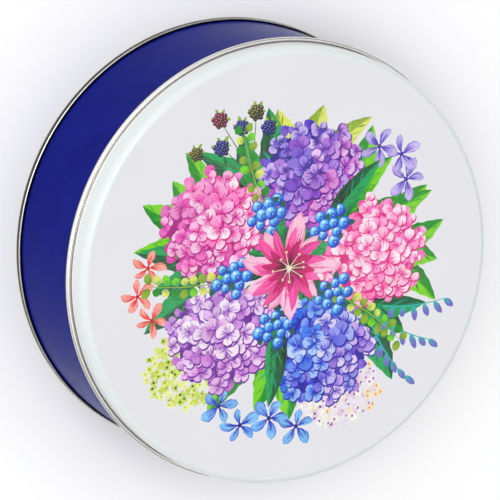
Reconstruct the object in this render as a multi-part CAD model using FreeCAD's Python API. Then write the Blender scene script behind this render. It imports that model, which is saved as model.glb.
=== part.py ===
"""Round slip-lid cookie tin, in millimetres. +Z up, origin at the centre of the foot.

Four pieces: a rolled and lock-seamed side wall with an inward rolled rim, a recessed base that is
double-seamed on to it, the ring of sealing compound inside that seam, and a drawn lid with an outward
rolled edge. Every pressing is one sheet thick, so each section is drawn along the sheet's middle line.
"""
import FreeCAD, Part
import math
import os

# Driving dimensions
SHEET = 0.28                # tinplate thickness of every pressing
TIN_HEIGHT = 76.0           # foot to lid face
WALL_OUTER_R = 102.3        # outside of the side wall

# Lid
SLIP_GAP = 0.30             # radial play between the wall and the lid's skirt
LID_DEPTH = 15.0            # lid face to the bottom of its rolled edge
LID_SHOULDER_R = 3.2        # outside radius between the lid's face and skirt
LID_CURL_D = 2.4            # outside diameter of the lid's rolled edge
CURL_SWEEP = 300            # degrees that a rolled edge turns before it stops

# Side wall
RIM_CURL_D = 2.2            # outside diameter of the wall's rolled rim
RIM_TOP_Z = 74.1            # top of the rolled rim, just under the lid's shoulder
LOCK_SEAM_WIDTH = 4.2       # width of the folded side seam
LOCK_SEAM_LAYERS = 3        # sheet layers of the seam that stand inside the wall
LOCK_SEAM_AZIMUTH = 0.0     # degrees round from +X
LOCK_SEAM_END_GAP = 0.8     # seam's ridge stops this far short of the rim curl
LOCK_SEAM_FOOT_Z = 6.0      # and this far above the foot, where the seam thins into the double seam
LOCK_LINE_DEPTH = 0.12      # depth of the seam's line on the outside, and half that line's width

# Base and double seam
PANEL_Z = 3.6               # underside of the recessed base panel
PANEL_CORNER_R = 1.0        # bend between the panel and the wall it is pressed against
BEAD_R = 88.0               # centre radius of the panel's stiffening bead
BEAD_BEND_R = 1.2           # the bead is four equal bends of this radius
BEAD_SLOPE = 40             # degrees, steepest slope of the bead
SEAM_HEIGHT = 3.2           # foot to the top of the double seam
LAYER_GAP = 0.16            # play between the layers of the double seam
FOOT_BEND_R = 0.45          # bend at each side of the flat foot
HOOK_LENGTH = 1.2           # straight part of the two interlocked hooks
WALL_HOOK_Z = 1.3           # centre of the wall hook's bend, above the foot

HALF = SHEET / 2
LAYER_STEP = SHEET + LAYER_GAP
WALL_MID_R = WALL_OUTER_R - HALF                    # the double seam's layers, from the inside out:
CHUCK_WALL_R = WALL_MID_R - LAYER_STEP              # base, going down
BASE_HOOK_R = WALL_MID_R + LAYER_STEP               # base, tucked under the wall's hook
WALL_HOOK_R = WALL_MID_R + 2 * LAYER_STEP           # wall, turned up round the base's hook
SEAMING_WALL_R = WALL_MID_R + 3 * LAYER_STEP        # base, going up outside all of them
AXIS_FOOT = FreeCAD.Vector(0, 0, 0)
UP = FreeCAD.Vector(0, 0, 1)


class Sheet:
    """The section of a bent sheet in the (radius, height) plane, drawn forwards like a pen path."""

    def __init__(self, radius, height, heading):
        self.at = (radius, height)
        self.heading = math.radians(heading)
        self.left, self.right = [], []

    def beside(self, offset):
        """The point this far to the left of the pen."""
        normal = self.heading + math.pi / 2
        return (self.at[0] + offset * math.cos(normal), self.at[1] + offset * math.sin(normal))

    def line(self, length):
        """Straight on."""
        starts = [self.beside(HALF), self.beside(-HALF)]
        step = (length * math.cos(self.heading), length * math.sin(self.heading))
        self.at = (self.at[0] + step[0], self.at[1] + step[1])
        for edges, start in zip((self.left, self.right), starts):
            edges.append(Part.LineSegment(point(*start), point(start[0] + step[0], start[1] + step[1])))
        return self

    def bend(self, radius, angle):
        """A bend of the middle line through an angle in degrees, to the left if positive."""
        turn = math.copysign(1.0, angle)
        centre = self.beside(turn * radius)
        first = self.heading - turn * math.pi / 2
        stops = [first + math.radians(angle) * share for share in (0, 0.5, 1)]
        for edges, side in ((self.left, HALF), (self.right, -HALF)):
            edges.append(Part.Arc(*[polar(centre, radius - turn * side, stop) for stop in stops]))
        self.at = (centre[0] + radius * math.cos(stops[2]), centre[1] + radius * math.sin(stops[2]))
        self.heading += math.radians(angle)
        return self

    def revolved(self):
        """The closed section, turned round the Z axis."""
        left = [curve.toShape() for curve in self.left]
        right = [curve.toShape() for curve in self.right]
        ends = [
            Part.makeLine(self.left[-1].EndPoint, self.right[-1].EndPoint),
            Part.makeLine(self.right[0].StartPoint, self.left[0].StartPoint),
        ]
        return turned(Part.Wire(Part.__sortEdges__(left + right + ends)))


def point(radius, height):
    return FreeCAD.Vector(radius, 0, height)


def polar(centre, radius, angle):
    return point(centre[0] + radius * math.cos(angle), centre[1] + radius * math.sin(angle))


def turned(outline, angle=360):
    """A closed outline in the XZ plane, turned about Z through an angle in degrees."""
    return Part.Face(outline).revolve(AXIS_FOOT, UP, angle)


def tube(inner_r, outer_r, bottom, top, angle=360):
    """A plain ring, or a sector of one that starts at the XZ plane."""
    corners = [(inner_r, bottom), (outer_r, bottom), (outer_r, top), (inner_r, top), (inner_r, bottom)]
    return turned(Part.makePolygon([point(*corner) for corner in corners]), angle)


def lid():
    """Flat face, rounded shoulder, straight skirt and outward curl, drawn from one sheet."""
    skirt_r = WALL_OUTER_R + SLIP_GAP + HALF
    shoulder_bend = LID_SHOULDER_R - HALF
    curl_bend = LID_CURL_D / 2 - HALF
    skirt_length = LID_DEPTH - LID_SHOULDER_R - LID_CURL_D / 2
    section = Sheet(0, TIN_HEIGHT - HALF, 0)
    section.line(skirt_r - shoulder_bend).bend(shoulder_bend, -90)
    section.line(skirt_length).bend(curl_bend, CURL_SWEEP)
    return section.revolved()


def side_wall():
    """Cylinder with an inward rolled rim, a hook for the double seam and a folded side seam."""
    curl_bend = RIM_CURL_D / 2 - HALF
    wall_length = RIM_TOP_Z - RIM_CURL_D / 2 - WALL_HOOK_Z
    section = Sheet(WALL_HOOK_R, WALL_HOOK_Z + HOOK_LENGTH, -90)
    section.line(HOOK_LENGTH).bend(LAYER_STEP, -180)
    section.line(wall_length).bend(curl_bend, CURL_SWEEP)
    return section.revolved().fuse(lock_seam_ridge()).cut(lock_seam_line())


def lock_seam_ridge():
    """The folded layers of the side seam, standing inside the wall."""
    inner_r = WALL_OUTER_R - SHEET * (1 + LOCK_SEAM_LAYERS)
    top = RIM_TOP_Z - RIM_CURL_D - LOCK_SEAM_END_GAP
    angle = math.degrees(LOCK_SEAM_WIDTH / WALL_OUTER_R)
    ridge = tube(inner_r, WALL_MID_R, LOCK_SEAM_FOOT_Z, top, angle)
    ridge.rotate(AXIS_FOOT, UP, LOCK_SEAM_AZIMUTH - angle / 2)
    return ridge


def lock_seam_line():
    """The fine line that the fold leaves down the outside of the wall, along one side of the ridge."""
    top = RIM_TOP_Z - RIM_CURL_D - LOCK_SEAM_END_GAP
    start = math.degrees((LOCK_SEAM_WIDTH / 2 - LOCK_LINE_DEPTH) / WALL_OUTER_R)
    angle = math.degrees(2 * LOCK_LINE_DEPTH / WALL_OUTER_R)
    line = tube(WALL_OUTER_R - LOCK_LINE_DEPTH, WALL_OUTER_R + SHEET, LOCK_SEAM_FOOT_Z, top, angle)
    line.rotate(AXIS_FOOT, UP, LOCK_SEAM_AZIMUTH + start)
    return line


def base():
    """Recessed, beaded panel whose edge wraps down, out and up into the double seam."""
    bead_half_width = 2 * BEAD_BEND_R * math.sin(math.radians(BEAD_SLOPE))
    foot_top = FOOT_BEND_R + HALF
    hook_top = SEAM_HEIGHT - LAYER_STEP - HALF
    section = Sheet(0, PANEL_Z + HALF, 0)
    section.line(BEAD_R - bead_half_width)
    for slope in (BEAD_SLOPE, -BEAD_SLOPE, -BEAD_SLOPE, BEAD_SLOPE):
        section.bend(BEAD_BEND_R, slope)
    section.line(CHUCK_WALL_R - PANEL_CORNER_R - BEAD_R - bead_half_width).bend(PANEL_CORNER_R, -90)
    section.line(PANEL_Z + HALF - PANEL_CORNER_R - foot_top).bend(FOOT_BEND_R, 90)
    section.line(SEAMING_WALL_R - CHUCK_WALL_R - 2 * FOOT_BEND_R).bend(FOOT_BEND_R, 90)
    section.line(hook_top - foot_top).bend((SEAMING_WALL_R - BASE_HOOK_R) / 2, 180).line(HOOK_LENGTH)
    return section.revolved()


def seam_compound():
    """The flowed-in ring of sealing compound between the base's foot and the wall's hook."""
    wall_hook_bottom = WALL_HOOK_Z - LAYER_STEP - HALF
    return tube(CHUCK_WALL_R + FOOT_BEND_R, SEAMING_WALL_R - FOOT_BEND_R, SHEET, wall_hook_bottom)


def main():
    os.makedirs("parts", exist_ok=True)
    pieces = {"lid": lid(), "side_wall": side_wall(), "base": base(), "seam_compound": seam_compound()}
    for name, shape in pieces.items():
        print(name, shape.ShapeType, "valid", shape.isValid(), "volume %.1f mm3" % shape.Volume)
        shape.exportStep(f"parts/{name}.step")


main()
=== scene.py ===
"""Looks of the round slip-lid cookie tin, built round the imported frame."""
import bpy
import numpy as np
import random
from math import ceil, cos, hypot, log, pi, radians, remainder, sin, sqrt, tau
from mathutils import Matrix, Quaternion, Vector
from mathutils.geometry import delaunay_2d_cdt


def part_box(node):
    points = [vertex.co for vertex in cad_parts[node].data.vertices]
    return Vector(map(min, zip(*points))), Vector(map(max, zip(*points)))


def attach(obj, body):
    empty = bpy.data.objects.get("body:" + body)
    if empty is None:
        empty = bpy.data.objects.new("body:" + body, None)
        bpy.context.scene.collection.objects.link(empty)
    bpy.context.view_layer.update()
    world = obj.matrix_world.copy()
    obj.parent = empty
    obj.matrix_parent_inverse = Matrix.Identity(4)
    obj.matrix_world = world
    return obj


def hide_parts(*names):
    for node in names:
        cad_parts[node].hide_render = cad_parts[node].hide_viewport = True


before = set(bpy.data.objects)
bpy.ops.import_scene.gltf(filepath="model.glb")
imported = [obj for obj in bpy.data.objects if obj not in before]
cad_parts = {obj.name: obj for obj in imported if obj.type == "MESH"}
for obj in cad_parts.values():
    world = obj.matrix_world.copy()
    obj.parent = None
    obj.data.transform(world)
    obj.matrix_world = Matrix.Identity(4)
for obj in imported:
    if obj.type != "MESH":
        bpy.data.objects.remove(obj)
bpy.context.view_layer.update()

MM = 0.001

# Tin sizes in millimetres, from the frame's boxes and the sheet-metal rules of the CAD model
SHEET = 0.28
HALF = SHEET / 2  # from its middle line to either face
LAYER_STEP = 0.44  # from one layer of the double seam to the next
lid_low, lid_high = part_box("lid")
_, wall_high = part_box("side_wall")
_, base_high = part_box("base")
LID_TOP = lid_high.z / MM
LID_DEPTH = (lid_high.z - lid_low.z) / MM
LID_EDGE_R = lid_high.x / MM
LID_CURL_D = 2.4
LID_SHOULDER_R = 3.2
SKIRT_MID_R = LID_EDGE_R - LID_CURL_D + HALF
FLAT_R = SKIRT_MID_R + HALF - LID_SHOULDER_R
SEAMING_WALL_R = base_high.x / MM - HALF
WALL_MID_R = SEAMING_WALL_R - 3 * LAYER_STEP
RIM_TOP = wall_high.z / MM
RIM_CURL_D = 2.2
CURL_SWEEP = 300  # degrees that the wall's rolled rim turns
LID_CURL_SWEEP = 314  # the lid's curl just reaches its skirt
WALL_HOOK_Z = 1.3  # where the straight of the wall's hook starts
HOOK_LENGTH = 1.2
PANEL_Z = 3.6
PANEL_CORNER_R = 1.0
BEAD_R = 88.0
BEAD_BEND_R = 1.2
BEAD_SLOPE = 40  # degrees
SEAM_HEIGHT = 3.2
FOOT_BEND_R = 0.45
LOCK_SEAM_WIDTH = 4.2  # the folded seam up the side wall
LOCK_SEAM_LAYERS = 3
LOCK_SEAM_FOOT_Z = 6.0
LOCK_SEAM_TOP_Z = RIM_TOP - RIM_CURL_D - 0.8
LOCK_LINE_DEPTH = 0.12  # the fine line beside the seam outside

# Where the coats end
ENAMEL_END_Z = 64.4
LACQUER_TOP_Z = 70.6
LACQUER_FOOT_Z = 2.6

SEGMENTS = 360  # round the tin
ARC_STEP = 9  # degrees between points of a bend
SHARP = 40  # degrees between faces that meet in a crease
AXIS_R = 1e-6  # a point closer to the axis lies on it
TOUCH = 0.01  # two radii closer than this are the same


class Sheet:
    """The section of a bent sheet as a pen path along its middle line, with both faces as point lists."""

    def __init__(self, radius, height, heading):
        self.at = Vector((radius, height))
        self.heading = radians(heading)
        self.left, self.right = [], []
        self.mark()

    def mark(self):
        """A point on each face, abreast of the pen."""
        normal = Vector((-sin(self.heading), cos(self.heading)))
        self.left.append(self.at + HALF * normal)
        self.right.append(self.at - HALF * normal)

    def move(self, length):
        self.at = self.at + length * Vector((cos(self.heading), sin(self.heading)))

    def line(self, *lengths):
        """Straight on, with a point after each length."""
        for length in lengths:
            self.move(length)
            self.mark()
        return self

    def bend(self, radius, angle):
        """A bend of the middle line in degrees, to the left if positive."""
        steps = max(3, ceil(abs(angle) / ARC_STEP))
        turn = radians(angle) / steps
        chord = 2 * radius * sin(abs(turn) / 2)
        for _ in range(steps):
            self.heading += turn / 2
            self.move(chord)
            self.heading += turn / 2
            self.mark()
        return self


def add_object(name, data):
    added = bpy.data.objects.new(name, data)
    bpy.context.scene.collection.objects.link(added)
    return added


def add_piece(name, points, faces, material):
    mesh = bpy.data.meshes.new(name)
    mesh.from_pydata(points, [], faces)
    mesh.materials.append(material)
    return add_object(name, mesh)


def even_azimuths():
    return [tau * i / SEGMENTS for i in range(SEGMENTS)]


def revolve(name, section, material, azimuths=None, reach=None):
    """A smooth piece with sharp creases: an open section of (radius, height) points turned about the axis.

    The surface faces the left of the section's direction of travel. reach(radius, azimuth, height)
    may move a point in or out.
    """
    azimuths = azimuths or even_azimuths()
    count = len(azimuths)
    points, rows = [], []
    for radius, height in section:
        if radius < AXIS_R:
            rows.append([len(points)] * count)
            points.append((0, 0, height * MM))
            continue
        rows.append(range(len(points), len(points) + count))
        for azimuth in azimuths:
            r = reach(radius, azimuth, height) if reach else radius
            points.append((r * cos(azimuth) * MM, r * sin(azimuth) * MM, height * MM))
    faces = []
    for low, high in zip(rows, rows[1:]):
        for i in range(count):
            j = (i + 1) % count
            faces.append(list(dict.fromkeys((low[j], low[i], high[i], high[j]))))
    piece = add_piece(name, points, faces, material)
    piece.data.validate()
    piece.data.polygons.foreach_set("use_smooth", [True] * len(piece.data.polygons))
    piece.data.set_sharp_from_angle(angle=radians(SHARP))
    return piece


# ---- materials

# Waves per metre of the noises that the enamels share
DRIFT = 35.0  # slow change of tone over the sheet
PEEL = 700.0  # orange peel of the gloss


class Nodes:
    """Short names for the shader nodes of a material or of the world."""

    def __init__(self, owner):
        self.owner = owner
        self.nodes = owner.node_tree.nodes
        self.links = owner.node_tree.links

    def put(self, socket, value):
        """Links a socket, or gives it a number or a colour."""
        if isinstance(value, bpy.types.NodeSocket):
            self.links.new(value, socket)
        elif isinstance(value, tuple):
            socket.default_value = (*value, 1.0)
        else:
            socket.default_value = value

    def fill(self, node, **values):
        """Puts values in a node's inputs by name, with underlines for the blanks."""
        for name, value in values.items():
            self.put(node.inputs[name.replace("_", " ")], value)

    def new(self, kind, **values):
        node = self.nodes.new("ShaderNode" + kind)
        self.fill(node, **values)
        return node

    def math(self, operation, *values):
        node = self.new("Math")
        node.operation = operation
        for socket, value in zip(node.inputs, values):
            self.put(socket, value)
        return node.outputs[0]

    def times(self, first, second):
        return self.math("MULTIPLY", first, second)

    def length(self, x, y):
        return self.math("SQRT", self.math("MULTIPLY_ADD", x, x, self.times(y, y)))

    def step(self, value, low, high, to_low=0.0, to_high=1.0):
        """Goes smoothly from to_low to to_high while the value goes from low to high."""
        node = self.new("MapRange", Value=value, From_Min=low, From_Max=high, To_Min=to_low, To_Max=to_high)
        node.interpolation_type = "SMOOTHSTEP"
        return node.outputs["Result"]

    def band(self, value, low, high, soft):
        """One between low and high, zero beyond, with soft edges."""
        return self.times(self.step(value, low - soft, low + soft),
                          self.step(value, high + soft, high - soft))

    def mix(self, share, first, second):
        """The first colour where the share is 0, the second where it is 1."""
        node = self.new("Mix")
        node.data_type = "RGBA"
        for socket, value in ((0, share), (6, first), (7, second)):
            self.put(node.inputs[socket], value)
        return node.outputs[2]

    def attribute(self, name):
        node = self.new("Attribute")
        node.attribute_name = name
        return node.outputs

    def split(self, vector):
        return self.new("SeparateXYZ", Vector=vector).outputs

    def place(self):
        """Where the surface is, in metres in the object's own axes."""
        return self.new("TexCoord").outputs["Object"]

    def noise(self, scale, detail, roughness=0.5, vector=None):
        """Noise with that many waves per metre, or over a vector."""
        vector = self.place() if vector is None else vector
        node = self.new("TexNoise", Vector=vector, Scale=scale, Detail=detail, Roughness=roughness)
        return node.outputs["Fac"]

    def stretched_noise(self, axes, scales, detail, roughness=0.5):
        """Noise over three values, each with a scale of its own."""
        node = self.new("CombineXYZ")
        for socket, axis, scale in zip(node.inputs, axes, scales):
            self.put(socket, self.times(axis, scale))
        return self.noise(1.0, detail, roughness, node.outputs[0])

    def finish(self, colour, roughness, height=None, strength=0.2, distance=0.1 * MM, level=0.5,
               metallic=0.0):
        """Links the varying inputs of the shader, sets its constant ones and hands over the material."""
        shader = self.nodes["Principled BSDF"]
        self.fill(shader, Base_Color=colour, Roughness=roughness, Specular_IOR_Level=level, Metallic=metallic)
        if height is not None:
            bump = self.new("Bump", Strength=strength, Distance=distance, Height=height)
            self.fill(shader, Normal=bump.outputs["Normal"])
        return self.owner


def new_material(name):
    material = bpy.data.materials.new(name)
    material.use_nodes = True
    return Nodes(material)


def enamel_material():
    """White enamel: a slow drift of tone, an orange-peel gloss, and a whiter band along its lowest
    millimetre.
    """
    cool_white, white, edge_white = (0.70, 0.745, 0.75), (0.73, 0.765, 0.765), (0.95, 0.95, 0.94)
    edge_low, edge_high = (ENAMEL_END_Z + 0.7) * MM, (ENAMEL_END_Z + 1.1) * MM
    n = new_material("white_enamel")
    drift = n.noise(DRIFT, 3.0)
    _, _, z = n.split(n.place())
    colour = n.mix(n.step(z, edge_low, edge_high), edge_white, n.mix(drift, cool_white, white))
    return n.finish(colour, n.step(drift, 0.3, 0.7, 0.12, 0.2), n.noise(PEEL, 2.0), 0.04)


def lacquer_material():
    """Deep blue lacquer: faint mottling, rub marks where the lid slides, painted shade above the bottom seam.
    """
    deep_blue, blue, bright_blue = (0.0008, 0.0048, 0.165), (0.0016, 0.0074, 0.200), (0.004, 0.011, 0.26)
    rubbed_blue, seam_shade_black, line_blue = (0.09, 0.11, 0.30), (0.001, 0.001, 0.004), (0.003, 0.004, 0.02)
    rub_low, rub_high = 54 * MM, 66 * MM
    seam_shade_low, seam_shade_high = 3.9 * MM, 4.6 * MM
    seam_edge = LOCK_SEAM_WIDTH / 2 * MM
    n = new_material("blue_lacquer")
    x, y, z = n.split(n.place())
    mottle = n.noise(60.0, 4.0, 0.6)
    grain = n.noise(1500.0, 2.0)
    colour = n.mix(n.step(mottle, 0.3, 0.7), deep_blue, blue)
    colour = n.mix(n.times(n.step(grain, 0.45, 0.75), 0.25), colour, bright_blue)
    scratch = n.stretched_noise((x, y, z), (1400.0, 1400.0, 40.0), 2.0)
    rubbed = n.times(n.step(scratch, 0.6, 0.74), n.step(z, rub_low, rub_high))
    colour = n.mix(n.times(rubbed, 0.5), colour, rubbed_blue)
    # Painted shade: the wall goes near black just above the bottom seam, where the seam's fold meets it
    seam_shade = n.step(n.math("ADD", z, n.times(mottle, 0.3 * MM)), seam_shade_high, seam_shade_low)
    colour = n.mix(n.times(seam_shade, 0.95), colour, seam_shade_black)
    line = n.band(y, seam_edge - 0.15 * MM, seam_edge + 0.15 * MM, 0.06 * MM)
    colour = n.mix(n.times(line, n.step(x, 0.0, 1 * MM)), colour, line_blue)
    return n.finish(colour, n.step(mottle, 0.25, 0.75, 0.16, 0.26), grain, 0.05, level=0.015)


def tinplate_material(name, flat_sheet, shade_bands):
    """Bare tinplate: fine rolling streaks, soft warm blotches, lighter scuffs and darker bands of painted
    shade.

    A flat sheet's streaks run along X, a rolled one's run round the axis. Each shade band is its low z,
    high z and softness in millimetres, its colour, its share and its extra roughness.
    """
    grey, bright = (0.72, 0.71, 0.69), (0.92, 0.91, 0.89)
    warm, scuffed = (0.74, 0.68, 0.58), (0.94, 0.94, 0.93)
    rolled_r = 0.1
    n = new_material(name)
    x, y, z = n.split(n.place())
    run, cross = (x, y) if flat_sheet else (n.times(n.math("ARCTAN2", y, x), rolled_r), n.length(x, y))
    streak = n.stretched_noise((run, cross, z), (25.0, 2600.0, 2600.0), 3.0, 0.6)
    blotch = n.noise(38.0, 4.0, 0.6)
    scuff = n.stretched_noise((x, y, z), (260.0, 900.0, 500.0), 4.0, 0.7)
    colour = n.mix(n.step(streak, 0.3, 0.7), grey, bright)
    colour = n.mix(n.times(n.step(blotch, 0.45, 0.75), 0.35), colour, warm)
    colour = n.mix(n.times(n.step(scuff, 0.62, 0.72), 0.4), colour, scuffed)
    wander = n.math("ADD", z, n.times(n.math("SUBTRACT", blotch, 0.5), 0.25 * MM))
    roughness = n.math("ADD", n.step(streak, 0.3, 0.7, 0.14, 0.24), n.step(blotch, 0.4, 0.8, 0.0, 0.1))
    # Painted shade and painted dark reflections: each band darkens the metal between two heights
    for low, high, soft, shade_band, share, rough in shade_bands:
        zone = n.times(n.band(wander, low * MM, high * MM, soft * MM), share)
        colour = n.mix(zone, colour, shade_band)
        roughness = n.math("MULTIPLY_ADD", zone, rough, roughness)
    return n.finish(colour, roughness, streak, 0.05, 0.05 * MM, metallic=1.0)


def compound_material():
    """Rubbery sealing compound, uneven where it was squeezed out."""
    n = new_material("sealing_compound")
    lumps = n.noise(900.0, 4.0, 0.6)
    colour = n.mix(lumps, (0.20, 0.19, 0.16), (0.42, 0.39, 0.31))
    return n.finish(colour, n.step(lumps, 0.3, 0.7, 0.55, 0.75), lumps, 0.5, 0.2 * MM)


def floor_material():
    """A plain pale studio floor, barely mottled."""
    n = new_material("floor")
    drift = n.noise(4.0, 3.0)
    colour = n.mix(drift, (0.965, 0.965, 0.965), (0.985, 0.985, 0.985))
    return n.finish(colour, n.step(drift, 0.3, 0.7, 0.9, 1.0), level=0.0)


# ---- lid

FACE_LAP = 0.35  # flat ring that the shoulder's piece keeps


def lid_section():
    """The lid's section, with the number of the point where the enamel ends."""
    skirt = LID_DEPTH - LID_SHOULDER_R - LID_CURL_D / 2
    enamelled = LID_TOP - LID_SHOULDER_R - ENAMEL_END_Z
    section = Sheet(0, LID_TOP - HALF, 0)
    section.line(FLAT_R - FACE_LAP, FACE_LAP).bend(LID_SHOULDER_R - HALF, -90)
    section.line(enamelled, skirt - enamelled)
    last_enamel = len(section.left) - 2
    section.bend(LID_CURL_D / 2 - HALF, LID_CURL_SWEEP)
    return section, last_enamel


# ---- printed flowers

ENAMEL = (230, 230, 234)  # like all inks, an 8-bit screen colour
FACE_R = FLAT_R - FACE_LAP
LIT = 0.97  # allows for the light that falls on the face
VEIL = 0.035  # and for what its gloss adds to every colour
TILE = 22.0  # the face is divided in squares this wide
WHOLE_HULL = 0  # triangulate all that the points span
MERGE = 1e-5  # points closer than this are one
KEY_DIGITS = 4  # decimals that tell points apart
GOLDEN_ANGLE = 2.399963  # radians, spreads florets evenly
LIGHT_SIDE = 2.3  # radians, where the painted light comes from
dice = random.Random(8)
vary = dice.uniform


def reflectance(colour):
    """The paint that looks like an 8-bit screen colour under the studio light and the gloss."""
    seen = [c / 255 / 12.92 if c <= 10 else ((c / 255 + 0.055) / 1.055) ** 2.4 for c in colour]
    return tuple(LIT * max(0.0, light - VEIL) for light in seen)


def blend(first, second, share):
    share = min(1.0, max(0.0, share))
    return tuple(a + (b - a) * share for a, b in zip(first, second))


def jitter(colour, amount):
    shift = vary(-amount, amount)
    return tuple(min(255, max(0, c + shift + vary(-amount, amount) / 3)) for c in colour)


def polar(radius, angle, centre=(0, 0)):
    return Vector((centre[0] + radius * cos(angle), centre[1] + radius * sin(angle)))


def left_of(run):
    """The unit vector a quarter turn to the left."""
    return Vector((-run.y, run.x)).normalized()


def arc_spot(start, end, bow, share):
    """A point that far along a gentle arc, whose middle is moved by bow to the left."""
    run = end - start
    return start + run * share + left_of(run) * (bow * 4 * share * (1 - share))


def curve(start, end, bow, steps=6):
    """Points of a gentle arc from start to end."""
    return [arc_spot(Vector(start), Vector(end), bow, i / steps) for i in range(steps + 1)]


def width_share(share, belly, point):
    """How wide a petal is at a share of its length: 1 at belly. A low point gives it blunt ends."""
    return sin(pi * share ** (log(0.5) / log(belly))) ** point


class Drawing:
    """Painted shapes on the lid's face, in millimetres. A later shape covers an earlier one."""

    def __init__(self):
        self.outlines, self.boxes, self.inks = [], [], []
        self.axes = []  # each shape's start, direction, length, half width and seed

    def shape(self, outline, root, tip, start, end, half_width, streak=0.0, rim=0.0):
        """start and end are the shape's own axis, along which its colour goes from root to tip.

        streak is how far brush strokes disturb that, and rim how much of the root colour lines the edge.
        """
        along = Vector(end) - Vector(start)
        length = max(along.length, 0.01)
        along /= length
        self.outlines.append([tuple(p) for p in outline])
        xs, ys = zip(*self.outlines[-1])
        self.boxes.append((min(xs), min(ys), max(xs), max(ys)))
        self.inks.append((*reflectance(root), streak, *reflectance(tip), rim))
        self.axes.append((*start, *along, length, max(half_width, 0.01), dice.random()))

    def blade(self, start, end, half_width, root, tip, belly=0.5, point=0.6, bow=0.0, points=6,
              streak=0.4, rim=0.3, ruffle=0.06):
        """A petal or leaf from start to end, widest at belly. bow bends it to the left."""
        start, end = Vector(start), Vector(end)
        side = left_of(end - start)
        left, right = [], []
        for i in range(1, points + 1):
            share = i / (points + 1)
            width = half_width * width_share(share, belly, point)
            middle = arc_spot(start, end, bow, share)
            left.append(middle + side * width * vary(1 - ruffle, 1 + ruffle))
            right.append(middle - side * width * vary(1 - ruffle, 1 + ruffle))
        outline = [start, *right, end, *reversed(left)]
        self.shape(outline, root, tip, start, end, half_width, streak, rim)

    def disc(self, centre, radius, root, tip, points=9, squash=1.0, turn=0.0, rim=0.3):
        """A round or squashed spot. turn points from its root colour to its tip colour."""
        outline = []
        for i in range(points):
            x, y = polar(radius, tau * i / points)
            y *= squash
            outline.append((centre[0] + x * cos(turn) - y * sin(turn),
                            centre[1] + x * sin(turn) + y * cos(turn)))
        start, end = polar(radius, turn + pi, centre), polar(radius, turn, centre)
        self.shape(outline, root, tip, start, end, radius * squash, rim=rim)

    def stem(self, points, width, colour, tip_colour=None):
        """A thin line through points that gets thinner."""
        taper = 0.6
        points = [Vector(p) for p in points]
        left, right = [], []
        last = len(points) - 1
        for i, p in enumerate(points):
            run = points[min(i + 1, last)] - points[max(i - 1, 0)]
            side = left_of(run) * (width / 2) * (1 - taper * i / last)
            left.append(p + side)
            right.append(p - side)
        self.shape(right + left[::-1], colour, tip_colour or colour, points[0], points[-1], width, 0.3, 0)


def petal(art, spot, way, size, root, tip, shadow=None, squash=1.0):
    """One broad, slightly crumpled petal of a flower head, over its own thin shadow."""
    half = size * 0.47 * vary(0.8, 1.12) * squash
    form = {"belly": vary(0.5, 0.68), "point": vary(0.42, 0.66),
            "bow": vary(-0.08, 0.08) * size, "points": 5}
    if shadow:
        drop = Vector((0.3, -0.5))
        art.blade(spot + drop, spot + drop + way * size * 1.06, half * 1.1, shadow, shadow, streak=0, rim=0,
                  **form)
    art.blade(spot, spot + way * size, half, root, tip, streak=0.8, rim=0.15, **form)
    if shadow and dice.random() < 0.5:
        art.stem([spot + way * size * 0.2, spot + way * size * vary(0.55, 0.8)], size * 0.07,
                 blend(root, shadow, 0.4))


def floret(art, spot, size, out, flat, shadow, root, tip):
    """Three or four petals. flat is how little the head's dome turns them away, in the direction out."""
    turn = vary(0, pi)
    mood = vary(-0.2, 0.14)
    for k in dice.sample(range(4), dice.choice((3, 4, 4))):
        way = polar(1, turn + k * pi / 2 + vary(-0.25, 0.25))
        way -= out * way.dot(out) * (1 - flat)
        tone = mood + dice.choice((0.0, 0.0, 0.1, 0.3, 0.6))
        petal(art, spot + way * size * 0.04, way, size * vary(0.8, 1.12),
              jitter(blend(root, shadow, dice.choice((0, 0.1, 0.4))), 14),
              jitter(blend(blend(tip, root, tone), WHITE, 0.5 * max(0.0, 0.15 - tone) / 0.3), 8),
              jitter(blend(shadow, root, 0.1), 12), 0.62 + 0.38 * flat)


def flower_head(art, centre, radii, pitch, near, far, toward, gap):
    """A domed head of four-petalled florets. Its colours change from near to far along toward.

    near and far are each (shadow, petal root, petal tip), and pitch is the florets' spacing. Loose petals
    in the shadow colours lie under the florets and show between them.
    """
    count = int(pi * radii[0] * radii[1] / (pitch * pitch * 0.5))
    ground = [(centre[0] + radii[0] * 0.78 * cos(a) * vary(0.9, 1.06),
               centre[1] + radii[1] * 0.78 * sin(a) * vary(0.9, 1.06))
              for a in [tau * i / 24 for i in range(24)]]
    aim = Vector(toward).normalized()
    edge = Vector((aim.x * radii[0], aim.y * radii[1])) * 0.8
    middle = Vector(centre)
    art.shape(ground, near[0], far[0], middle - edge, middle + edge, radii[0], 0.2, 0)
    for layer in ("under", "florets"):
        total = int(count * 2.2) if layer == "under" else count
        for i in reversed(range(total)):
            reach = sqrt((i + 0.5) / total)
            angle = i * GOLDEN_ANGLE + vary(-0.3, 0.3)
            out = Vector((cos(angle), sin(angle)))
            spread = reach * vary(0.82, 0.92)
            spot = Vector((centre[0] + out.x * radii[0] * spread, centre[1] + out.y * radii[1] * spread))
            share = 0.5 + 0.62 * (out * reach).dot(aim) + vary(-0.34, 0.34)
            shadow, root, tip = (blend(a, b, share) for a, b in zip(near, far))
            flat = sqrt(1 - (0.72 * reach) ** 2)
            size = pitch * 0.54 * vary(0.78, 1.18) * (1.06 - 0.2 * reach)
            if layer == "under":
                way = polar(1, vary(0, tau))
                tone = dice.random()
                petal(art, spot - way * size * 0.4, way, size, jitter(blend(shadow, root, tone * 0.6), 12),
                      jitter(blend(root, tip, tone * 0.5), 16))
            else:
                floret(art, spot, size, out, flat, shadow, root, tip)
                art.disc(spot, size * 0.1, gap, gap, points=5)


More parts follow.
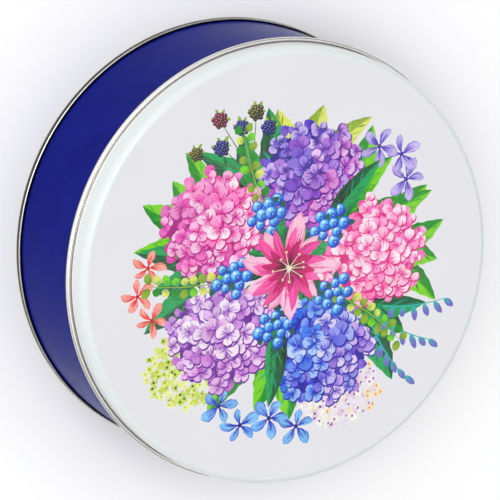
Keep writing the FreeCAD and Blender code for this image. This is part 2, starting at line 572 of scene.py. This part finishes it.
def leaf(art, start, end, width, tones, bow=0.0, veins=6, teeth=0.0):
    """Two halves in different tones, a midrib, side veins and brush strokes between them.

    tones are dark, middle, light and an accent.
    """
    belly, point = 0.42, 0.8
    dark, middle_tone, light, accent = tones
    start, end = Vector(start), Vector(end)
    along = end - start
    side = left_of(along)
    steps = 2 * veins + 4

    def rib(share):
        return arc_spot(start, end, bow, share)

    def half_width(share):
        return width / 2 * width_share(min(share, 1.0), belly, point)

    midrib = [rib(i / 6) for i in range(7)]
    for way, inner, outer in ((1, dark, middle_tone), (-1, middle_tone, light)):
        edge = []
        for i in range(1, steps):
            t = i / steps
            saw = 1 + teeth * (1 if i % 2 else -1)
            edge.append(rib(t) + side * way * half_width(t) * saw * vary(0.96, 1.04))
        outline = midrib + edge[::-1]
        art.shape(outline if way < 0 else outline[::-1], inner, outer, start, end, width / 2, 0.9, 0.2)
    for i in range(veins):
        for way in (1, -1):
            t = (i + 0.5) / (veins + 1)
            reach = min(t + vary(0.14, 0.22), 0.97)
            tip = rib(reach) + side * way * half_width(reach) * vary(0.72, 0.9)
            low, high = rib(t + 0.01), rib(min(t + 0.5 / (veins + 1), 1))
            tone = dice.choice((dark, dark if way > 0 else light, light, accent))
            art.shape([low, tip * 0.6 + low * 0.4 - along * 0.02, tip, high * 0.4 + tip * 0.6], tone,
                      blend(tone, middle_tone, 0.6), low, tip, 1, 0.8, 0)
            art.stem(curve(rib(t), tip, -0.04 * width * way, 3), 0.4, blend(light, accent, 0.3),
                     blend(light, middle_tone, 0.5))
    art.stem(midrib, 0.7, light, blend(light, dark, 0.3))


def berry(art, centre, radius, dark, mid, light):
    """A round berry with a shine and its crown's ring."""
    art.disc(centre, radius, dark, mid, points=14, turn=LIGHT_SIDE, rim=0.6)
    art.disc(polar(radius * 0.22, LIGHT_SIDE, centre), radius * 0.68, mid, light, 12, turn=LIGHT_SIDE)
    art.disc(polar(radius * 0.5, 2.1, centre), radius * 0.27, light, (225, 240, 255), 8, turn=LIGHT_SIDE)
    crown = polar(radius * 0.25, -0.5, centre)
    art.disc(crown, radius * 0.34, dark, blend(dark, mid, 0.3), points=8)
    art.disc(crown, radius * 0.16, mid, light, points=6)


def berry_cluster(art, centre, tones):
    """Round berries close together, over short dark leaves."""
    count, radius = 10, 9
    for i in reversed(range(count)):
        reach = sqrt((i + 0.3) / count)
        out = polar(1, i * GOLDEN_ANGLE + 0.7)
        spot = centre + out * radius * reach
        if i % 2:
            art.blade(spot, spot + polar(6, vary(0, 6)), 1.5, tones[0], TEAL[1], streak=0.8)
        berry(art, spot, vary(2.4, 3.4), *tones)


def bramble(art, centre, radius, dark, mid, light):
    """A cluster of small shining beads."""
    art.disc(centre, radius * 0.85, dark, dark, points=12)
    for i in reversed(range(19)):
        reach = sqrt((i + 0.5) / 19)
        spot = polar(radius * 0.86 * reach, i * GOLDEN_ANGLE, centre)
        bead = radius * 0.27
        tone = blend(mid, dark, 0.5 + 0.5 * (spot[0] - centre[0] - spot[1] + centre[1]) / (radius * 1.6))
        art.disc(spot, bead, jitter(dark, 8), jitter(tone, 14), points=8, turn=LIGHT_SIDE, rim=0.8)
        art.disc(polar(bead * 0.4, LIGHT_SIDE, spot), bead * 0.3, light, light, points=5)


def bramble_spray(art, foot, fan, reach, tones):
    """Brambles on thin stems that spread from one foot. fan is the first and last direction."""
    for k, tone in enumerate(tones):
        angle = radians(fan[0] + (fan[1] - fan[0]) * k / (len(tones) - 1))
        spot = polar(reach * (0.72, 1.0)[k % 2] * vary(0.9, 1.1), angle, foot)
        art.stem(curve(foot, spot, vary(-1.5, 1.5)), 0.7, STEM, MOSS[0])
        radius = vary(3.2, 4.2)
        open_flower(art, spot + Vector((0.2, 1.0)), radius * 1.3, 6, STEM, MOSS[1], half=0.15)
        bramble(art, spot, radius, *tone)


def open_flower(art, centre, radius, petals, root, tip, half, turn=0.0, core=None, belly=0.62, point=0.6,
                bow=0.0, vein=None, ruffle=0.06):
    """Separate petals round a small core. half is a petal's half width as a share of its length."""
    for k in range(petals):
        angle = turn + tau * k / petals + vary(-0.14, 0.14)
        reach = radius * vary(0.82, 1.1)
        end = polar(reach, angle, centre)
        art.blade(polar(radius * 0.06, angle, centre), end, reach * half * vary(0.85, 1.15),
                  jitter(root, 12), jitter(tip, 10), belly=belly, point=point,
                  bow=(bow + vary(-0.05, 0.05)) * radius, streak=0.9, rim=0.45, ruffle=ruffle)
        if vein:
            art.stem(curve(polar(radius * 0.12, angle, centre), polar(reach * 0.7, angle, centre), bow, 3),
                     0.45, vein)
    if core:
        art.disc(centre, radius * 0.12, core, core, points=7)


def lace(art, centre, radii, colours):
    """A loose umbel: many tiny four-lobed flowers with a dot of a darker colour."""
    count, size = 130, 2.3
    for k in range(9):
        angle = tau * k / 9 + vary(-0.2, 0.2)
        end = Vector(centre) + Vector((radii[0] * cos(angle), radii[1] * sin(angle))) * 0.9
        art.stem([centre, end], 0.35, MOSS[2], ENAMEL)
    for i in range(count):
        reach = sqrt((i + 0.5) / count)
        x, y = polar(1, i * GOLDEN_ANGLE)
        spot = Vector((centre[0] + x * radii[0] * reach + vary(-1, 1),
                       centre[1] + y * radii[1] * reach + vary(-1, 1)))
        petal_colour, dot = dice.choice(colours)
        turn = vary(0, 3)
        for k in range(4):
            angle = turn + k * pi / 2 + vary(-0.3, 0.3)
            end = polar(size * vary(0.7, 1.15), angle, spot)
            art.blade(spot, end, size * 0.36, jitter(petal_colour, 10), jitter(petal_colour, 10), points=3,
                      streak=0.3, rim=0.3)
        if dice.random() < 0.65:
            art.disc(polar(size * 0.15, turn, spot), size * 0.3, dot, dot, points=5)


WHITE = (252, 250, 252)

# Colours: shadow, petal root and petal tip of a head, then dark, middle, light and accent of a leaf
PINK = ((224, 30, 132), (253, 110, 188), (255, 228, 240))
ORCHID = ((168, 22, 132), (228, 72, 176), (246, 162, 216))
MAGENTA = ((122, 34, 150), (204, 80, 194), (240, 170, 226))
VIOLET = ((50, 26, 138), (98, 66, 198), (158, 132, 230))
LILAC = ((112, 48, 162), (196, 138, 220), (250, 236, 249))
MAUVE = ((108, 40, 152), (186, 100, 206), (238, 186, 234))
SKY = ((20, 40, 168), (36, 92, 224), (110, 170, 250))
LAVENDER = ((62, 36, 164), (128, 88, 208), (224, 200, 240))
CANDY = ((218, 32, 130), (253, 96, 172), (255, 212, 228))
LEAF = ((8, 96, 24), (40, 150, 30), (128, 214, 50), (40, 196, 170))
MOSS = ((60, 110, 40), (150, 180, 60), (222, 230, 110), (120, 190, 90))
TEAL = ((4, 60, 52), (14, 104, 74), (56, 170, 96), (60, 190, 190))
STEM = (110, 130, 50)
BERRY_BLUE = ((14, 66, 176), (38, 138, 236), (132, 204, 250))
BERRY_NAVY = ((24, 22, 90), (52, 50, 150), (150, 160, 225))
BERRY_RED = ((90, 30, 50), (150, 60, 90), (210, 160, 170))
BERRY_OLIVE = ((60, 56, 30), (120, 116, 60), (190, 190, 130))
BRAMBLES = (BERRY_NAVY, BERRY_OLIVE, BERRY_NAVY, BERRY_RED, BERRY_NAVY, BERRY_OLIVE)
CREAM_LACE = (((246, 240, 230), (150, 80, 170)), ((230, 206, 226), (110, 60, 150)),
              ((248, 224, 190), (232, 160, 70)), ((236, 226, 240), (180, 120, 180)))
GREEN_LACE = (((216, 226, 110), (150, 180, 60)), ((236, 238, 160), (196, 214, 60)),
              ((200, 216, 90), (60, 110, 50)))
# colours of each head on its two sides, and of the gaps between its florets
HEADS = ((PINK, ORCHID, (170, 40, 120)), (MAGENTA, VIOLET, (90, 40, 140)), (CANDY, PINK, (196, 50, 130)),
         (SKY, LAVENDER, (56, 40, 150)), (LILAC, MAUVE, (96, 44, 130)))
HEAD_RING = 44.0  # radius of the circle through their centres
FIRST_HEAD = 151.0  # azimuth of the first, degrees


def leaf_fan(art, foot, fan, count, reach, width, tones):
    """Leaves that spread from one foot. fan is the first and last direction in degrees."""
    for k in range(count):
        angle = radians(fan[0] + (fan[1] - fan[0]) * k / max(1, count - 1) + vary(-4, 4))
        length = reach * (1.0, 0.8, 0.92)[k % 3] * vary(0.94, 1.06)
        bow = dice.choice((-1, 1)) * length * 0.06
        leaf(art, polar(3, angle, foot), polar(length, angle, foot), width * vary(0.85, 1.1), tones,
             bow, veins=5, teeth=0.05)


def anemone(art, centre, radius):
    """A wide magenta flower: pale outer petals, darker inner ones, stamens round a dark eye."""
    for petals, reach, root, tip, half in ((9, 1.0, (228, 20, 134), (254, 192, 220), 0.17),
                                           (11, 0.84, (204, 4, 116), (250, 98, 172), 0.12),
                                           (10, 0.56, (84, 4, 56), (212, 12, 122), 0.14)):
        open_flower(art, centre, radius * reach, petals, root, tip, half=half, turn=vary(0, 2),
                    belly=0.5, point=0.8, bow=0.03, vein=blend(root, tip, 0.25), ruffle=0.12)
    for k in range(9):
        tip = polar(radius * vary(0.24, 0.36), k * GOLDEN_ANGLE, centre)
        art.stem([centre, tip], 0.5, (240, 230, 200))
        art.disc(tip, 1.0, (120, 90, 60), (240, 228, 190), points=7, squash=0.6, turn=vary(0, 3))


def leaf_sprig(art, start, end, bow, count, tones):
    """Small round leaves in many greens on both sides of a thin stem."""
    route = curve(start, end, bow, count)
    art.stem(route, 0.8, tones[1][1])
    for k, spot in enumerate(route[1:]):
        run = (spot - route[k]).normalized()
        for way in (-1, 1):
            side = Vector((-run.y, run.x)) * way
            tip = spot + (side + run * 0.4).normalized() * vary(4, 6.5)
            tone = dice.choice((tones[0][2], tones[1][1], tones[0][1], tones[1][2]))
            art.blade(spot + side * 0.8, tip, 2.0, blend(tone, tones[0][0], 0.3), tone, point=0.55,
                      streak=0.6)


def bud_sprig(art, start, end, count, root, tip):
    """Narrow buds that hang from one side of a thin stem."""
    route = curve(start, end, -1.5, count)
    art.stem(route, 0.9, root)
    for k, spot in enumerate(route[1:]):
        art.blade(spot, spot + polar(vary(5, 8), -1.9 + 0.25 * k), 1.6, root, tip, streak=0.7)


def ring_azimuth(step):
    """Degrees. Whole steps point at the heads, clockwise from the first, and half steps between them."""
    return FIRST_HEAD - 360 * step / len(HEADS)


def ring_spot(reach, step, turn=0.0):
    """The place that far from the middle, turned on by a few degrees."""
    return polar(reach, radians(ring_azimuth(step) + turn))


def small_flowers(art, reach, step, turns, radius, root, tip, core):
    """Open flowers side by side, each turned round the middle by its own number of degrees."""
    for k, turn in enumerate(turns):
        open_flower(art, ring_spot(reach + (0, 5)[k % 2], step, turn), radius, 5, root, tip, half=0.23,
                    turn=0.5 * k, core=core, vein=root, bow=0.06, ruffle=0.12)


def back_flowers(art):
    """What shows round the ring of heads: something behind each head and something in each gap."""
    for step, tones, count in ((0, LEAF, 4), (1, MOSS, 3), (2, LEAF, 4)):
        azimuth = ring_azimuth(step)
        leaf_fan(art, ring_spot(42, step), (azimuth - 38, azimuth + 38), count, 42, 14, tones)
    lace(art, ring_spot(66, 3), (23, 17), CREAM_LACE)
    lace(art, ring_spot(66, 4), (22, 18), GREEN_LACE)
    for gap in range(len(HEADS)):
        azimuth = ring_azimuth(gap + 0.5)
        leaf_fan(art, ring_spot(30, gap + 0.5), (azimuth - 26, azimuth + 26), 3, 50, 15,
                 (TEAL, LEAF)[gap % 2])
    azimuth = ring_azimuth(0.5)
    bramble_spray(art, ring_spot(50, 0.5), (azimuth - 44, azimuth + 46), 31, BRAMBLES)
    small_flowers(art, 70, 1.5, (-9, 0, 9), 10, (84, 60, 190), (200, 184, 238), (96, 60, 160))
    for turn in (-12, 2, 16):
        start, end = ring_spot(54, 2.5, turn * 0.4), ring_spot(84, 2.5, turn)
        bud_sprig(art, start, end, 6, (60, 180, 180), (120, 110, 200))
    small_flowers(art, 71, 3.5, (-16, -5, 6, 17), 10, (14, 44, 186), (132, 192, 248), (20, 36, 130))
    small_flowers(art, 71, 4.5, (-10, 0, 10), 9, (232, 60, 64), (252, 166, 156), (200, 30, 40))


def bouquet():
    """A round posy: five heads in a ring, berries between them and an open flower in the middle."""
    art = Drawing()
    rim = [polar(FACE_R, azimuth) for azimuth in even_azimuths()]
    art.shape(rim, ENAMEL, ENAMEL, (0, 0), (1, 0), 1)
    back_flowers(art)
    leaf_fan(art, (0, 0), (0, 324), 10, 38, 15, TEAL)
    for step in (1, 3, 0, 2, 4):
        near, far, gap = HEADS[step]
        flower_head(art, ring_spot(HEAD_RING, step), (30, 28.5), 11, near, far, ring_spot(1, step, 50), gap)
    for gap in range(len(HEADS)):
        if gap % 2:
            leaf(art, ring_spot(24, gap + 0.5), ring_spot(66, gap + 0.5, 5), 11, TEAL, 1.5)
        else:
            leaf_sprig(art, ring_spot(24, gap + 0.5), ring_spot(70, gap + 0.5, -3), 2, 10, (LEAF, MOSS))
    for gap in range(len(HEADS)):
        berry_cluster(art, ring_spot(28, gap + 0.5), BERRY_BLUE)
    anemone(art, (0, 0), 25)
    return art


def clip(segment, axis, limit, sign):
    """The part of a segment on one side of a line parallel to an axis, or None."""
    inside = [sign * (end[axis] - limit) >= 0 for end in segment or ()]
    if all(inside):
        return segment
    if not any(inside):
        return None
    a, b = sorted(segment)
    share = (limit - a[axis]) / (b[axis] - a[axis])
    crossing = [a[0] + (b[0] - a[0]) * share, a[1] + (b[1] - a[1]) * share]
    crossing[axis] = limit
    return (segment[0] if inside[0] else segment[1], tuple(crossing))


def covers(outline, spots):
    """Which of the spots lie inside an outline."""
    inside = np.zeros(len(spots), bool)
    x, y = spots[:, 0], spots[:, 1]
    for (x0, y0), (x1, y1) in zip(outline, outline[1:] + outline[:1]):
        if y0 != y1:
            inside ^= ((y0 > y) != (y1 > y)) & (x < (x1 - x0) * (y - y0) / (y1 - y0) + x0)
    return inside


def triangulate(art, near, points, edges):
    """Triangles whose sides follow the edges, and each one's topmost shape."""
    result = delaunay_2d_cdt([Vector(p) for p in points], edges, [], WHOLE_HULL, MERGE, True)
    spots, faces = result[0], result[2]
    places = np.array([tuple(p) for p in spots])
    triangles = np.array([tuple(face) for face in faces])
    top = np.full(len(triangles), -1)
    middles = places[triangles].mean(1)
    for shape in near:
        top[covers(art.outlines[shape], middles)] = shape
    return places, triangles, top


def seen_edges(triangles, top):
    """The sides where one painted shape ends and another shows, and the square's own border."""
    owners = {}
    for (a, b, c), shape in zip(triangles.tolist(), top.tolist()):
        for side in ((a, b), (b, c), (c, a)):
            owners.setdefault((min(side), max(side)), []).append(shape)
    return [side for side, shapes in owners.items() if len(shapes) == 1 or shapes[0] != shapes[1]]


def tile_triangles(art, low):
    """One square of the face, cut along the outlines that show."""
    high = (low[0] + TILE, low[1] + TILE)
    near = [shape for shape, (left, bottom, right, top) in enumerate(art.boxes)
            if left < high[0] and right > low[0] and bottom < high[1] and top > low[1]]
    points, edges = [], []
    for shape in near:
        outline = art.outlines[shape]
        for segment in zip(outline, outline[1:] + outline[:1]):
            for axis in (0, 1):
                segment = clip(clip(segment, axis, low[axis], 1), axis, high[axis], -1)
            if segment and segment[0] != segment[1]:
                edges.append((len(points), len(points) + 1))
                points.extend(segment)
    points += [(x, y) for x in (low[0], high[0]) for y in (low[1], high[1]) if hypot(x, y) < FACE_R]
    if len(points) < 3:
        return [], [], []
    places, triangles, top = triangulate(art, near, points, edges)
    used, sides = np.unique(seen_edges(triangles, top), return_inverse=True)
    return triangulate(art, near, places[used].tolist(), sides.reshape(-1, 2).tolist())


def face_mesh(art):
    """Points, triangles and each triangle's topmost shape, with the squares joined at shared points."""
    count = ceil(FACE_R / TILE)
    corners, faces, owners = {}, [], []
    for i in range(-count, count):
        for j in range(-count, count):
            places, triangles, top = tile_triangles(art, (i * TILE, j * TILE))
            for triangle, shape in zip(triangles, top):
                if shape < 0:
                    continue
                face = []
                for x, y in places[triangle]:
                    key = (round(x, KEY_DIGITS), round(y, KEY_DIGITS))
                    number, _ = corners.setdefault(key, (len(corners), (x, y)))
                    face.append(number)
                if len(set(face)) == 3:
                    faces.append(face)
                    owners.append(shape)
    return np.array([place for _, place in corners.values()]), np.array(faces), np.array(owners)


def corner_inks(art, points, faces, owners):
    """For each corner of each triangle, its two inks and its place on its shape's own axis."""
    owner = np.repeat(owners, 3)
    start_x, start_y, way_x, way_y, length, half_width, seed = np.array(art.axes)[owner].T
    x, y = (points[faces.ravel()] - np.stack([start_x, start_y], 1)).T
    along = (x * way_x + y * way_y) / length * 2 - 1
    across = (y * way_x - x * way_y) / half_width
    ink = np.array(art.inks)[owner]
    return ink[:, :4], ink[:, 4:], np.stack([along, across, seed], 1)


def printed_face(art, material):
    """The lid's flat face as one plane mesh, cut along the edges of the painted shapes."""
    points, faces, owners = face_mesh(art)
    corners = [(x * MM, y * MM, LID_TOP * MM) for x, y in points.tolist()]
    piece = add_piece("lid_face", corners, faces.tolist(), material)
    root_ink, tip_ink, stroke = corner_inks(art, points, faces, owners)
    for name, kind, field, values in (("root_ink", "FLOAT_COLOR", "color", root_ink),
                                      ("tip_ink", "FLOAT_COLOR", "color", tip_ink),
                                      ("stroke", "FLOAT_VECTOR", "vector", stroke)):
        layer = piece.data.attributes.new(name, kind, "CORNER")
        layer.data.foreach_set(field, values.astype(np.float32).ravel())
    return piece


def print_material():
    """Printed enamel: brushed inks from root to tip of each painted shape, under one gloss."""
    n = new_material("printed_enamel")
    root, tip = n.attribute("root_ink"), n.attribute("tip_ink")
    along, across, seed = n.split(n.attribute("stroke")["Vector"])
    streak, rim = root["Alpha"], tip["Alpha"]
    share = n.math("MULTIPLY_ADD", along, 0.5, 0.5)
    spread = n.math("DIVIDE", across, n.math("ADD", share, 0.45))
    brush = n.stretched_noise((spread, share, seed), (5.0, 1.1, 40.0), 2.0)
    wash = n.noise(420.0, 3.0)
    brushed = n.times(n.math("SUBTRACT", brush, 0.5), n.times(streak, 2.2))
    washed = n.times(n.math("SUBTRACT", wash, 0.5), 0.7)
    tone = n.step(n.math("ADD", n.math("ADD", share, brushed), washed), 0.05, 0.62)
    colour = n.mix(tone, root["Color"], tip["Color"])
    edge = n.times(n.step(n.math("ADD", n.length(along, across), washed), 0.72, 1.02), rim)
    colour = n.mix(edge, colour, root["Color"])
    drift = n.noise(DRIFT, 3.0)
    colour = n.mix(n.step(drift, 0.3, 0.7, 0.0, 0.03), colour, (0.9, 0.95, 1.0))
    roughness = n.math("MULTIPLY_ADD", wash, 0.06, 0.22)
    return n.finish(colour, roughness, n.noise(PEEL, 2.0), 0.06)


lid_face = printed_face(bouquet(), print_material())

section, last_enamel = lid_section()
lid_skirt = revolve("lid_skirt", section.left[1:last_enamel + 1], enamel_material())
curl_z = LID_TOP - LID_DEPTH + LID_CURL_D / 2
# Painted dark reflection: the curl's underside, up to just above its middle, is near black
curl_underside_shade = (0, curl_z + 0.3, 0.15, (0.05, 0.04, 0.03), 0.95, 0.1)
# Rougher bare margin between curl and enamel; its dark grey is a painted dim reflection
margin_dulling_and_shade = (curl_z + 1.4, ENAMEL_END_Z + 1, 0.1, (0.3, 0.3, 0.3), 1.0, 0.3)
lid_tinplate = tinplate_material("lid_tinplate", False, (curl_underside_shade, margin_dulling_and_shade))
lid_metal = revolve("lid_bare_metal", section.left[last_enamel:] + section.right[::-1], lid_tinplate)
for piece, slot in ((lid_face, "lid_enamel"), (lid_skirt, "lid_enamel"), (lid_metal, "bare_tinplate")):
    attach(piece, "lid")
    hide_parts("lid")

# ---- side wall

def wall_section():
    """The wall's section, with the numbers of the points where the lacquer starts and ends."""
    stops = [LACQUER_FOOT_Z, LOCK_SEAM_FOOT_Z, LOCK_SEAM_FOOT_Z + SHEET, LACQUER_TOP_Z,
             LOCK_SEAM_TOP_Z - SHEET, LOCK_SEAM_TOP_Z, RIM_TOP - RIM_CURL_D / 2]
    section = Sheet(WALL_MID_R + 2 * LAYER_STEP, WALL_HOOK_Z + HOOK_LENGTH, -90)
    section.line(HOOK_LENGTH).bend(LAYER_STEP, -180)
    wall_foot = len(section.right)
    section.line(*[high - low for low, high in zip([WALL_HOOK_Z, *stops], stops)])
    section.bend(RIM_CURL_D / 2 - HALF, CURL_SWEEP)
    return section, wall_foot, wall_foot + stops.index(LACQUER_TOP_Z)


def seam_azimuths():
    """Even azimuths, with more beside the side seam's ridge and its line."""
    edge = LOCK_SEAM_WIDTH / 2
    steps = (-2.2, -1.1, -0.9, 0, 0.9, 1.1, 2.2)
    close = [side * (edge + step * LOCK_LINE_DEPTH) for side in (1, -1) for step in steps]
    return sorted(even_azimuths() + [(offset / WALL_MID_R) % tau for offset in close])


def seam_reach(radius, azimuth, height):
    """Folds the side seam: a ridge inside, a fine line outside."""
    offset = remainder(azimuth, tau) * WALL_MID_R
    edge = LOCK_SEAM_WIDTH / 2
    if not LOCK_SEAM_FOOT_Z + HALF < height < LOCK_SEAM_TOP_Z - HALF:
        return radius
    if abs(radius - (WALL_MID_R - HALF)) < TOUCH and abs(offset) < edge - LOCK_LINE_DEPTH:
        return radius - LOCK_SEAM_LAYERS * SHEET
    if abs(radius - (WALL_MID_R + HALF)) < TOUCH and abs(offset - edge) < LOCK_LINE_DEPTH:
        return radius - LOCK_LINE_DEPTH
    return radius


section, first, last = wall_section()
inside, outside = section.left, section.right
wall_lacquer = lacquer_material()
wall_tinplate = tinplate_material("wall_tinplate", False, ())
for name, skin, material, slot in (
        ("wall_lacquer", outside[first:last + 1][::-1], wall_lacquer, "wall_lacquer"),
        ("wall_bare_metal", outside[:first + 1][::-1] + inside, wall_tinplate, "bare_tinplate"),
        ("rim_bare_metal", outside[last:][::-1], wall_tinplate, "bare_tinplate")):
    piece = revolve(name, skin, material, seam_azimuths(), seam_reach)
    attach(piece, "tin")
    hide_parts("side_wall")

# ---- base

def base_section():
    """The base's section: panel, bead, chuck wall, foot and cover hook."""
    bead_half_width = 2 * BEAD_BEND_R * sin(radians(BEAD_SLOPE))
    chuck_wall_r = WALL_MID_R - LAYER_STEP
    foot_top = FOOT_BEND_R + HALF
    hook_top = SEAM_HEIGHT - LAYER_STEP - HALF
    section = Sheet(0, PANEL_Z + HALF, 0)
    section.line(BEAD_R - bead_half_width)
    for slope in (BEAD_SLOPE, -BEAD_SLOPE, -BEAD_SLOPE, BEAD_SLOPE):
        section.bend(BEAD_BEND_R, slope)
    section.line(chuck_wall_r - PANEL_CORNER_R - BEAD_R - bead_half_width).bend(PANEL_CORNER_R, -90)
    section.line(PANEL_Z + HALF - PANEL_CORNER_R - foot_top).bend(FOOT_BEND_R, 90)
    section.line(SEAMING_WALL_R - chuck_wall_r - 2 * FOOT_BEND_R).bend(FOOT_BEND_R, 90)
    section.line(hook_top - foot_top).bend(LAYER_STEP, 180).line(HOOK_LENGTH)
    return section


section = base_section()
# Painted shade: the base seam is near black from its foot up to 2.88 mm
foot_seam_shade = (-1, 2.88, 0.1, (0.025, 0.024, 0.023), 0.97, 0.1)
# Painted shade: the seam's top fold, where it meets the wall, is near black
crevice_seam_shade = (SEAM_HEIGHT - 0.04, SEAM_HEIGHT + 0.3, 0.08, (0.02, 0.02, 0.02), 0.95, 0.2)
base_tinplate = tinplate_material("base_tinplate", True, (foot_seam_shade, crevice_seam_shade))
base_metal = revolve("base_metal", section.left + section.right[::-1], base_tinplate)
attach(base_metal, "tin")
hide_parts("base")
compound_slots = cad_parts["seam_compound"].data.materials
compound_slots.clear()
compound_slots.append(compound_material())

# ---- stage

FLOOR_R = 30  # metres
# World level by the sine of the height above the horizon: a bright overhead, and a dark band that gives
# bare metal its dark lines
STUDIO = ((0.0, 0.9), (0.04, 0.85), (0.12, 0.12), (0.45, 0.14), (0.72, 0.75), (1.0, 0.85))
STUDIO_STRENGTH = 1.06
CAMERA_SIDE = (-0.89, 0.45)  # level direction from the tin towards the camera
PANEL_LEVEL = 1.2  # a wide soft panel stands on that side
PANEL_SIDES = (0.2, 0.75)  # how far a direction points that way where the panel starts and is full
PANEL_LOW, PANEL_HIGH, PANEL_SOFT = 0.15, 0.62, 0.1  # the sines of its edges' heights, and their softness
CAMERA_PLACE = Vector((-779.7, 396.4, 1620.4))  # millimetres
CAMERA_AIM = Vector((-20.327, 9.582, LID_TOP))  # what the middle of the picture shows
CAMERA_ROLL = 116.988  # degrees about the line of sight
LENS, SENSOR_WIDTH = 279.2, 36
SIGHT_END = 100  # metres


def studio_floor():
    bpy.ops.mesh.primitive_circle_add(vertices=96, radius=FLOOR_R, fill_type="NGON")
    floor = bpy.context.object
    floor.name = "floor"
    floor.data.materials.append(floor_material())


def studio_world():
    """The light that comes from all round, by height and by side."""
    world = bpy.data.worlds.new("studio")
    bpy.context.scene.world = world
    world.use_nodes = True
    n = Nodes(world)
    x, y, z = n.split(n.new("TexCoord").outputs["Generated"])
    ramp = n.new("ValToRGB", Fac=z)
    stops = ramp.color_ramp.elements
    for position, _ in STUDIO[1:-1]:
        stops.new(position)
    for stop, (_, level) in zip(stops, STUDIO):
        stop.color = (level, level, level, 1)
    toward = n.math("ADD", n.times(x, CAMERA_SIDE[0]), n.times(y, CAMERA_SIDE[1]))
    panel = n.times(n.step(toward, *PANEL_SIDES), n.band(z, PANEL_LOW, PANEL_HIGH, PANEL_SOFT))
    light = n.mix(panel, ramp.outputs["Color"], (PANEL_LEVEL,) * 3)
    n.fill(n.nodes["Background"], Color=light, Strength=STUDIO_STRENGTH)


def soft_sun(name, direction, spread, strength):
    """Light from a wide disc in that direction. spread is the disc's width in degrees."""
    light = bpy.data.lights.new(name, "SUN")
    light.angle = radians(spread)
    light.energy = strength
    lamp = add_object(name, light)
    lamp.rotation_euler = Vector(direction).to_track_quat("Z", "Y").to_euler()


def studio_camera():
    data = bpy.data.cameras.new("camera")
    data.lens = LENS
    data.sensor_width = SENSOR_WIDTH
    data.clip_end = SIGHT_END
    camera = add_object("camera", data)
    camera.location = CAMERA_PLACE * MM
    sight = (CAMERA_AIM - CAMERA_PLACE).to_track_quat("-Z", "Y")
    camera.rotation_mode = "QUATERNION"
    camera.rotation_quaternion = sight @ Quaternion((0, 0, 1), radians(CAMERA_ROLL))
    bpy.context.scene.camera = camera


studio_floor()
studio_world()
soft_sun("overhead", (-0.05, 0.03, 1), 50, 0.3)
soft_sun("key", (-0.423, 0.215, 0.880), 38, 0.95)
studio_camera()
bpy.context.scene.view_settings.view_transform = "Standard"
